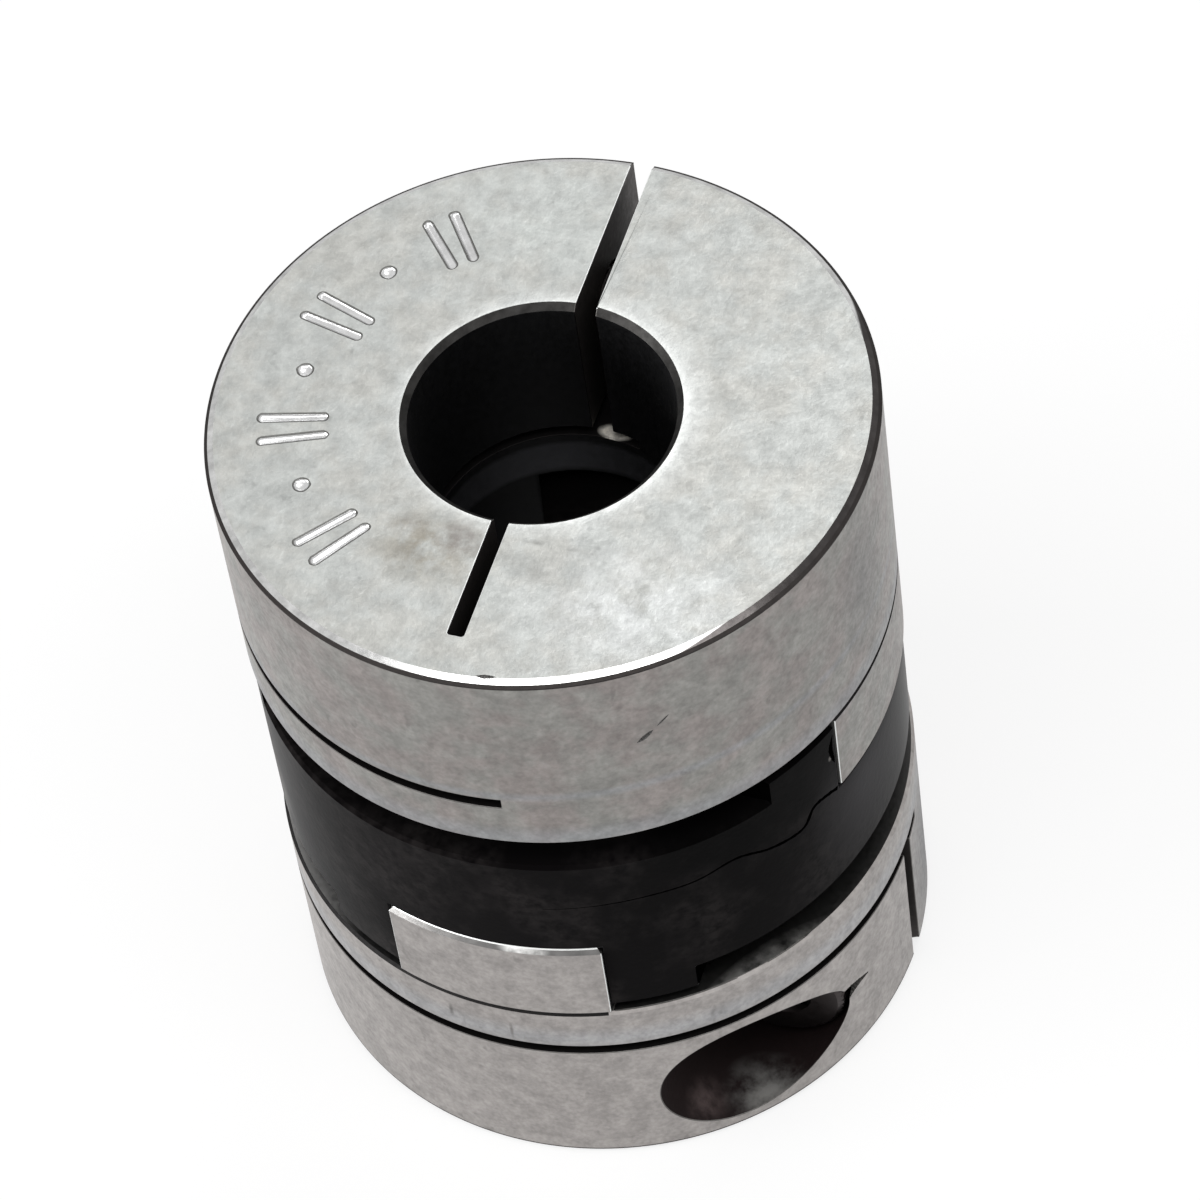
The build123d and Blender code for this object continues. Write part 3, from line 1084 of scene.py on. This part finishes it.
@dataclass
class MetricThread:
    """A coarse metric thread, in millimetres."""

    crest_radius: float = 1.5
    root_radius: float = 1.2
    pitch: float = 0.5
    flat: float = 0.07  # width of a crest, or of a groove's floor
    turn_points: int = 36
    proud: float = 0.03  # how far a cutter stands past the wall that it cuts

    def helix(self, name: str, start: float, end: float, finish: Finish, outward: bool) -> Object:
        """A helical cutter along +Z with the thread's section.

        Args:
            name: The tree's and the object's name.
            start: Where it starts along Z.
            end: About where it ends along Z, a whole number of turns on.
            finish: The finish of what it cuts.
            outward: True for the groove in a nut's wall, which narrows outwards.

        Returns:
            The closed helix.
        """
        past = self.proud
        slope = (self.pitch - 2 * self.flat) / (self.crest_radius - self.root_radius)
        wide = self.pitch - self.flat + past * slope
        inner = self.root_radius - past if outward else self.root_radius
        outer = self.crest_radius if outward else self.crest_radius + past
        sizes = {
            "Turns": float(round((end - start) / self.pitch)),
            "Pitch": self.pitch,
            "Turn Points": self.turn_points,
            "Inner Radius": inner,
            "Outer Radius": outer,
            "Inner Width": wide if outward else self.flat,
            "Outer Width": self.flat if outward else wide,
            "From": start,
        }
        g = PatternTree(name, sizes)
        middle = g.maths("MULTIPLY", g.maths("ADD", g.size("Inner Radius"), g.size("Outer Radius")), 0.5)
        spiral = {
            "Resolution": g.size("Turn Points"),
            "Rotations": g.size("Turns"),
            "Start Radius": middle,
            "End Radius": middle,
            "Height": g.maths("MULTIPLY", g.size("Turns"), g.size("Pitch")),
        }
        line = g.out("GeometryNodeCurveSpiral", spiral)
        upright = g.out("GeometryNodeSetCurveNormal", {"Curve": line}, mode="Z_UP")
        trapezoid = {
            "Height": g.maths("SUBTRACT", g.size("Outer Radius"), g.size("Inner Radius")),
            "Bottom Width": g.size("Inner Width"),
            "Top Width": g.size("Outer Width"),
            "Offset": 0.0,
        }
        section = g.out("GeometryNodeCurvePrimitiveQuadrilateral", trapezoid, mode="TRAPEZOID")
        outwards = g.out("FunctionNodeEulerToRotation", {0: (0.0, 0.0, math.radians(90))})
        standing = g.out("GeometryNodeTransform", {"Geometry": section, "Rotation": outwards})
        swept = {"Curve": upright, "Profile Curve": standing, "Fill Caps": True}
        tube = g.out("GeometryNodeCurveToMesh", swept)
        return g.make(g.lifted(tube, "From"), finish)


@dataclass
class CapScrew:
    """An M3 x 8 socket-head cap screw and how it sits in its hub, in millimetres."""

    thread: MetricThread = field(default_factory=MetricThread)
    length: float = 8.0
    tip_chamfer: float = 0.4
    neck: float = 0.6  # plain shank under the head
    head_radius: float = 2.75
    head_height: float = 3.0
    head_chamfer: float = 0.2
    knurl_grooves: int = 56
    knurl_depth: float = 0.09
    knurl_stop: float = 0.3  # plain rim above the head's underside
    across_flats: float = 2.5
    socket_depth: float = 1.5
    socket_lead: float = 0.24  # countersink round the socket's mouth
    lead_overlap: float = 0.02  # how far the countersink reaches past the socket's corners
    head_clearance: float = 0.2
    shank_clearance: float = 0.15
    arm_under_head: float = 2.1
    wall_to_rim: float = 1.1
    wall_to_relief: float = 0.55
    segments: int = 112
    mouth_segments: int = 96
    bore_segments: int = 128
    hole_segments: int = 64

    def seat(self, hub: ClampHub) -> float:
        """Where the head's underside stands along Y."""
        return hub.slit_offset - hub.clamp_slit / 2 - self.arm_under_head

    def axis(self, hub: ClampHub, y: float) -> Matrix:
        """The place at y on the screw's axis, turned so that +Z there points along +Y."""
        bore = self.head_radius + self.head_clearance
        x = hub.radius - self.wall_to_rim - bore
        z = hub.clamp_length - self.wall_to_relief - bore
        return Matrix.Translation((x, y, z)) @ Matrix.Rotation(math.radians(-90), 4, "X")

    def hole_cutters(self, hub: ClampHub) -> list[Object]:
        """Counterbore and clear hole in the arm, and the drilled hole through the fixed side."""
        far = hub.radius + OVERCUT
        seat = self.axis(hub, self.seat(hub))
        middle = self.axis(hub, hub.slit_offset)
        bore, root = self.head_radius + self.head_clearance, self.thread.root_radius
        clear = self.thread.crest_radius + self.shank_clearance
        under = self.arm_under_head + hub.clamp_slit
        return [
            rod("counterbore", bore, -far, 0, COUNTERBORE, self.bore_segments, seat),
            rod("clear_hole", clear, -under, 0, COUNTERBORE, self.hole_segments, middle),
            rod("drilled_hole", root, 0, far, COUNTERBORE, self.hole_segments, middle),
        ]

    def tap(self, hub: ClampHub) -> Object:
        """The thread in the drilled hole, in step with the screw's own thread."""
        seat = self.seat(hub)
        first_turn = math.ceil((hub.slit_offset - seat) / self.thread.pitch) + 0.5
        first = first_turn * self.thread.pitch
        tap = self.thread.helix("tap", first, hub.radius - seat, SHOULDER, outward=True)
        return moved(tap, self.axis(hub, seat))

    def knurl(self) -> Object:
        """The grooves that knurling leaves down the head's side, as one cutter."""
        top = self.head_height + OVERCUT
        sizes = {
            "Count": self.knurl_grooves,
            "Radius": self.head_radius,
            "First": 0.0,
            "Step": math.tau / self.knurl_grooves,
            "Groove Depth": self.knurl_depth,
            "Length": top - self.knurl_stop,
            "Middle": -(top + self.knurl_stop) / 2,
        }
        g = PatternTree("knurl", sizes)
        groove = {"Radius": g.size("Groove Depth"), "Depth": g.size("Length")}
        bar = g.out("GeometryNodeMeshCylinder", {"Vertices": 4, "Side Segments": 1, **groove})
        return g.make(g.ring(g.lifted(bar, "Middle")), OXIDE)

    def build(self, name: str, hub: ClampHub) -> Object:
        """The screw on its seat in the lower hub."""
        r, c, top = self.thread.crest_radius, self.tip_chamfer, -self.head_height
        head, edge, end = self.head_radius, self.head_chamfer, self.length
        outline = [
            (0, top), (head - edge, top), (head, top + edge), (head, 0),
            (r, 0), (r, end - c), (r - c, end), (0, end),
        ]
        screw = turned(name, alike(OXIDE, outline), self.segments)
        corner = self.across_flats / 2 / math.cos(math.pi / 6)
        outside, wide, lead = top - OVERCUT, corner + self.lead_overlap, self.socket_lead
        mouth = [
            (0, outside), (corner + OVERCUT, outside), (wide, top),
            (wide - lead, top + lead), (0, top + lead),
        ]
        socket = rod("socket", corner, outside, top + self.socket_depth, OXIDE, 6)
        countersink = turned("socket_mouth", alike(OXIDE, mouth), self.mouth_segments)
        combine(screw, [socket, countersink, self.knurl()])
        pitch = self.thread.pitch
        first = math.ceil(self.neck / pitch) * pitch
        combine(screw, [self.thread.helix("die", first, end + pitch, OXIDE, outward=False)])
        return moved(screw, self.axis(hub, self.seat(hub)))


@dataclass
class GroovedDisc:
    """The plastic disc with a groove in each face, at right angles, in millimetres."""

    inset: float = 0.1
    hole_radius: float = 5.5
    web: float = 2.7
    cheek_width: float = 2.97
    cheek_height: float = 1.3
    rim_chamfer: float = 0.15
    cheek_gap: float = 0.4
    tip_clearance: float = 0.1
    side_clearance: float = 0.03
    edge_break: float = 0.04
    break_angle: float = 60  # degrees between two faces, from which their edge is broken
    segments: int = 288

    def bottom(self, hub: ClampHub) -> float:
        """The height of its lower cheeks' faces."""
        return hub.length + self.cheek_gap

    def groove_depth(self, hub: ClampHub) -> float:
        """From a cheek's face to the groove's floor."""
        return hub.tenon_height + self.tip_clearance - self.cheek_gap

    def top(self, hub: ClampHub) -> float:
        """The height of its upper cheeks' faces."""
        return self.bottom(hub) + self.web + 2 * self.groove_depth(hub)

    def face_cutters(self, hub: ClampHub) -> list[Object]:
        """The groove along Y and the relief of the rim on both sides, for the lower face."""
        far = hub.radius + OVERCUT
        groove = hub.tenon_width / 2 + self.side_clearance
        cheek = groove + self.cheek_width
        low = self.bottom(hub)
        floor, relief = low + self.groove_depth(hub), low + self.cheek_height
        radius, c = hub.radius - self.inset, self.rim_chamfer
        outside, over = low - OVERCUT, relief + c + OVERCUT
        across = [(-groove, -far), (groove, -far), (groove, far), (-groove, far)]
        cutters = [prism("groove", across, outside, floor, ACETAL)]
        section = alike(
            ACETAL,
            [
                (0, outside), (far * 2, outside), (far * 2, over), (radius + OVERCUT, over),
                (radius, relief + c), (radius - c, relief), (0, relief),
            ],
        )
        for side in (1, -1):
            bounds = [(side * cheek, -far), (side * far, -far), (side * far, far), (side * cheek, far)]
            relieved = turned("relief", section, self.segments)
            # the relief's side walls take the near-black scored acetal: painted shade
            wall = prism("side", bounds, outside - OVERCUT, relief + 2 * OVERCUT, ACETAL_SCORES_AND_SHADE)
            combine(relieved, [wall], "INTERSECT")
            cutters.append(relieved)
        return cutters

    def build(self, name: str, hub: ClampHub, flip: Matrix) -> Object:
        """The disc between the hubs."""
        r, c, hole = hub.radius - self.inset, self.rim_chamfer, self.hole_radius
        low, high = self.bottom(hub), self.top(hub)
        outline = [(hole, low), (r - c, low), (r, low + c), (r, high - c), (r - c, high), (hole, high)]
        disc = turned(name, alike(ACETAL, outline), self.segments)
        combine(disc, self.face_cutters(hub))
        combine(disc, [moved(cutter, flip) for cutter in self.face_cutters(hub)])
        return disc


HUB_RADIUS = ClampHub().radius
DISC_RADIUS = HUB_RADIUS - GroovedDisc().inset

BORE_TAIL = ((-25.4, 3.95), (-23.2, 4.05), (-21.0, 4.05), (-18.4, 3.97))
DISC_LINE = (
    (-20.5, 16.95), (-24, 17.2), (-27, 17.2), (-30, 16.5), (-37, 16.75), (-44, 17.35),
    (-52, 17.05), (-62, 17.0), (-79, 16.8),
)
DISC_CHIP = ((-20.4, 20.3), (-21.3, 19.6), (-20.6, 18.6))
SIDE_SCRATCH = ((-58.3, 26.7), (-57.0, 26.9), (-55.4, 27.2))
SIDE_SCRATCH_END = ((-54.6, 27.35), (-53.4, 27.6), (-52.4, 27.8))
RIM_NICK = ((-83.6, 31.02), (-81.6, 31.0), (-79.8, 31.02))

LOWER_WEAR = (Gouge("bore_tail", HUB_RADIUS, BORE_TAIL, 0.5, taper=Taper.TAIL, ragged=0.2),)
DISC_WEAR = (
    Gouge("disc_line", DISC_RADIUS, DISC_LINE, 0.13, ACETAL_SCORES_AND_SHADE, Taper.TAIL),
    Gouge("chipped_edge", DISC_RADIUS, DISC_CHIP, 0.14, ACETAL_SCORES_AND_SHADE),
)
UPPER_WEAR = (
    Gouge("side_scratch", HUB_RADIUS, SIDE_SCRATCH, 0.13, SCUFFED),
    Gouge("side_scratch_end", HUB_RADIUS, SIDE_SCRATCH_END, 0.06, SCUFFED),
    Gouge("rim_nick", HUB_RADIUS - 0.38, RIM_NICK, 0.1, SCUFFED),
)


@dataclass
class Coupling:
    """The whole coupling."""

    hub: ClampHub = field(default_factory=ClampHub)
    screw: CapScrew = field(default_factory=CapScrew)
    disc: GroovedDisc = field(default_factory=GroovedDisc)
    marks: IndexMarks = field(default_factory=IndexMarks)

    def turn_over(self) -> Matrix:
        """Half a turn that takes the lower end to the upper one and its tenon from Y to X."""
        height = self.disc.top(self.hub) + self.disc.bottom(self.hub)
        return Matrix(((0, 1, 0, 0), (1, 0, 0, 0), (0, 0, -1, height), (0, 0, 0, 1)))

    def build(self) -> None:
        """Makes every piece and sets it down on its body."""
        flip = self.turn_over()
        self._end("lower", Body.LOWER, None, [wear.cutter() for wear in LOWER_WEAR])
        upper_wear = [moved(wear.cutter(), flip) for wear in UPPER_WEAR]
        self._end("upper", Body.UPPER, flip, [*self.marks.cutters(), *upper_wear])
        disc = self.disc.build("grooved_disc", self.hub, flip)
        break_edges(disc, self.disc.edge_break, self.disc.break_angle, ACETAL)
        combine(disc, [wear.cutter() for wear in DISC_WEAR])
        set_down(disc, None, Body.MIDDLE, "centre_disc")

    def _end(self, end: str, body: Body, flip: Matrix | None, marks: list[Object]) -> None:
        """Makes one end's hub, with its marks cut last, and its screw."""
        hub = self.hub.build(f"{end}_hub_body", self.screw)
        self.hub.break_edges(hub)
        combine(hub, [self.screw.tap(self.hub), *marks])
        set_down(hub, flip, body, f"{end}_hub")
        screw = self.screw.build(f"{end}_cap_screw", self.hub)
        set_down(screw, flip, body, f"{end}_clamp_screw")


# ---------------------------------------------------------------------------------------
# Studio


def towards(azimuth: float, elevation: float) -> Vector:
    """The direction out to that azimuth, where 0 is -Y and 90 is +X, and elevation, in degrees."""
    a, e = math.radians(azimuth), math.radians(elevation)
    return Vector((math.sin(a) * math.cos(e), -math.cos(a) * math.cos(e), math.sin(e)))


@dataclass
class Lamp:
    """A soft rectangular lamp that looks at the coupling, in metres and degrees."""

    name: str
    azimuth: float
    elevation: float
    distance: float
    width: float
    height: float
    power: float

    def build(self, target: Vector) -> None:
        """Hangs the lamp."""
        out = towards(self.azimuth, self.elevation)
        data = bpy.data.lights.new(self.name, "AREA")
        data.shape = "RECTANGLE"
        data.size, data.size_y = self.width, self.height
        data.energy = self.power
        lamp = _link(self.name, data)
        lamp.location = target + out * self.distance
        lamp.rotation_mode = "QUATERNION"
        lamp.rotation_quaternion = (-out).to_track_quat("-Z", "Y")


@dataclass
class Studio:
    """A plain pale floor, a white world and soft lamps."""

    floor_reach: float = 1.5
    floor_colour: Colour = (0.86, 0.86, 0.86)
    floor_glow: float = 0.75  # the share of plain white that the floor shows to the eye
    mirrored_glow: float = 0.5  # the same, for what is seen of it in metal
    sky_light: float = 0.4
    lamps: tuple[Lamp, ...] = (
        Lamp("back_lamp", 168, 63, 0.5, 0.25, 0.25, 0.5),
        Lamp("left_lamp", 305, 12, 0.5, 0.35, 0.18, 2.3),
        Lamp("front_lamp", 28, 68, 0.5, 0.62, 0.14, 1.8),
    )

    def build(self, target: Vector) -> None:
        """Lays the floor and lights it."""
        self._floor()
        self._sky()
        for lamp in self.lamps:
            lamp.build(target)

    def _seen(self, g: Graph, eye: float, mirror: float) -> NodeSocket:
        """The first share for what the eye sees directly, the other for mirrors and glass."""
        path = g.add("ShaderNodeLightPath")
        shiny = g.maths("MAXIMUM", path.outputs["Is Glossy Ray"], path.outputs["Is Transmission Ray"])
        by_eye = g.maths("MULTIPLY", path.outputs["Is Camera Ray"], eye)
        return g.maths("MAXIMUM", by_eye, g.maths("MULTIPLY", shiny, mirror))

    def _floor(self) -> None:
        """The floor, a shade under white, with part of its shadow lifted."""
        mesh = bpy.data.meshes.new("floor")
        with editing(mesh) as bm:
            bmesh.ops.create_grid(bm, x_segments=1, y_segments=1, size=self.floor_reach)
        floor = _link("floor", mesh)
        material = _new_material("floor_paper", self.floor_colour)
        g = Graph(material.node_tree)
        paper = g.out("ShaderNodeBsdfDiffuse", {"Color": _rgba(self.floor_colour)})
        white = g.out("ShaderNodeEmission", {"Strength": 1.0})
        share = self._seen(g, self.floor_glow, self.mirrored_glow)
        mixed = g.out("ShaderNodeMixShader", {0: share, 1: paper, 2: white})
        g.add("ShaderNodeOutputMaterial", {"Surface": mixed})
        mesh.materials.append(material)
        floor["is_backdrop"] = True

    def _sky(self) -> None:
        """A world that is white to look at and lights more softly than that."""
        world = bpy.data.worlds.new("studio")
        world.use_nodes = True
        bpy.context.scene.world = world
        g = Graph(world.node_tree)
        share = self._seen(g, 1.0, 1.0)
        strength = g.maths("ADD", g.maths("MULTIPLY", share, 1 - self.sky_light), self.sky_light)
        sky = g.out("ShaderNodeBackground", {"Strength": strength, "Color": (1, 1, 1, 1)})
        g.add("ShaderNodeOutputWorld", {"Surface": sky})


@dataclass
class Viewpoint:
    """The camera: above the right-hand side of the slit, looking down at the end face."""

    azimuth: float = 25.0
    elevation: float = 50.5
    distance: float = 0.22156
    lens: float = 181.31
    pan: float = -0.258
    tilt: float = -1.854
    roll: float = -9.417
    sensor: float = 36.0  # millimetres
    clip: Point2 = (0.01, 10.0)

    def build(self, target: Vector) -> None:
        """Sets up the camera, aimed at target and then swung off it by pan, tilt and roll."""
        out = towards(self.azimuth, self.elevation)
        right = (-out).cross(Vector((0, 0, 1))).normalized()
        up = out.cross(right)
        aim = Matrix((right, up, out)).transposed().to_4x4()
        for angle, axis in ((self.pan, "Y"), (self.tilt, "X"), (self.roll, "Z")):
            aim = aim @ Matrix.Rotation(math.radians(angle), 4, axis)
        data = bpy.data.cameras.new("camera")
        data.lens = self.lens
        data.sensor_width = self.sensor
        data.clip_start, data.clip_end = self.clip
        camera = _link("camera", data)
        camera.matrix_world = Matrix.Translation(target + out * self.distance) @ aim
        bpy.context.scene.camera = camera


def empty_scene() -> None:
    """Removes what a new file starts with."""
    for thing in list(bpy.data.objects):
        bpy.data.objects.remove(thing)


def main() -> None:
    """Loads the frame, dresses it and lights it."""
    logging.basicConfig(level=logging.INFO, format="%(message)s")
    empty_scene()
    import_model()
    packed_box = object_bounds()
    Coupling().build()
    crown = Vector((0, 0, packed_box[1].z))
    Studio().build(crown)
    Viewpoint().build(crown)
    bpy.context.scene.view_settings.view_transform = "Standard"


if __name__ == "__main__":
    main()
